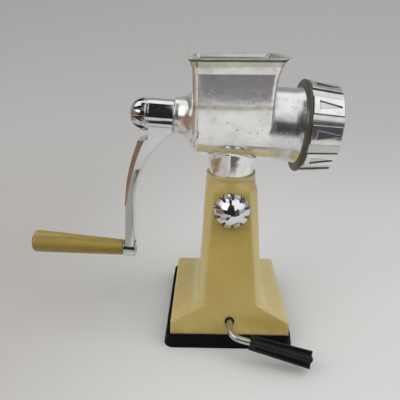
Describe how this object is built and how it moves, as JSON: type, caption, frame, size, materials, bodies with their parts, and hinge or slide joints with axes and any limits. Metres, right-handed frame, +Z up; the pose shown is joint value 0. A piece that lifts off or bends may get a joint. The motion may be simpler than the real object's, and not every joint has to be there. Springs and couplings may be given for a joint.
{
  "type": "hand-cranked food grinder",
  "caption": "Hand-cranked food grinder: polished hopper and worm barrel with ring nut and crank, on a gold pedestal with clamp knob and lever-operated suction base.",
  "frame": {"origin": "centre of the pad's underside, on the table under the post", "axes": "+Z up, +X towards the outlet, -Y towards the front with the clamp knob and the lever"},
  "size_m": [0.3079, 0.1699, 0.2755],
  "materials": {
    "polished_aluminium": "polished",
    "chrome": "polished",
    "gold_paint": "semi-gloss",
    "gold_plastic": "semi-gloss",
    "collar_plastic": "satin",
    "black_rubber": "matte",
    "black_plastic": "satin",
    "steel": "plain",
    "white_nylon": "satin",
    "brass": "plain"
  },
  "bodies": {
    "base": {"base_housing": "gold_paint", "base_pad": "black_rubber", "base_plate": "steel", "base_screws": "steel", "suction_cup": "black_rubber", "stem_guide": "white_nylon", "return_spring": "steel", "lever_bush": "black_plastic", "clamp_insert": "brass"},
    "cup_lift": {"cup_stem": "steel", "cup_plate": "steel"},
    "lever": {"lever_rod": "steel", "lever_grip": "black_plastic", "lever_clip": "steel", "lift_cam": "steel"},
    "shoe": {"clamp_shoe": "white_nylon"},
    "clamp": {"clamp_knob": "chrome", "clamp_stud": "steel"},
    "head": {"grinder_body": "polished_aluminium", "shaft_bush": "white_nylon", "thrust_washer": "white_nylon", "grinding_plate": "steel", "plate_key": "steel"},
    "collar": {"collar_ring": "collar_plastic"},
    "nut": {"ring_nut": "polished_aluminium"},
    "crank": {"auger": "polished_aluminium", "knife": "steel", "crank_arm": "chrome", "nut_washer": "chrome", "crank_nut": "chrome", "grip_pin": "steel"},
    "grip": {"crank_grip": "gold_plastic"}
  },
  "joints": [
    {"name": "head_lift", "type": "slide", "parent": "base", "child": "head", "axis": [0, 0, 1], "range_m": [0, 0.047]},
    {"name": "crank_spin", "type": "hinge", "parent": "head", "child": "crank", "pos_m": [0, 0, 0.2164], "axis": [0.9976, 0, -0.0698], "continuous": true},
    {"name": "grip_spin", "type": "hinge", "parent": "crank", "child": "grip", "pos_m": [-0.1142, 0, 0.07703], "axis": [0.9976, 0, -0.0698], "continuous": true},
    {"name": "nut_feed", "type": "slide", "parent": "head", "child": "collar", "axis": [0.9976, 0, -0.0698], "range_m": [0, 0.012]},
    {"name": "nut_turn", "type": "hinge", "parent": "collar", "child": "nut", "pos_m": [0.07981, 0, 0.21082], "axis": [0.9976, 0, -0.0698], "range_deg": [0, 1080]},
    {"name": "clamp_feed", "type": "slide", "parent": "base", "child": "shoe", "axis": [0, -0.9678, 0.2516], "range_m": [0, 0.0025]},
    {"name": "clamp_turn", "type": "hinge", "parent": "shoe", "child": "clamp", "pos_m": [0, -0.03253, 0.1372], "axis": [0, -0.9678, 0.2516], "range_deg": [0, 720]},
    {"name": "lever_turn", "type": "hinge", "parent": "base", "child": "lever", "pos_m": [0, 0, 0.028], "axis": [0, -1, 0], "range_deg": [0, 180]},
    {"name": "cup_slide", "type": "slide", "parent": "base", "child": "cup_lift", "axis": [0, 0, 1], "range_m": [-0.004, 0], "deforming": ["return_spring", "suction_cup"]}
  ],
  "couplings": [
    {"joint": "nut_feed", "follows": "nut_turn", "m_per_rad": 0.00063662},
    {"joint": "clamp_feed", "follows": "clamp_turn", "m_per_rad": 0.00019894},
    {"joint": "cup_slide", "follows": "lever_turn", "m_per_rad": -0.0012732}
  ]
}
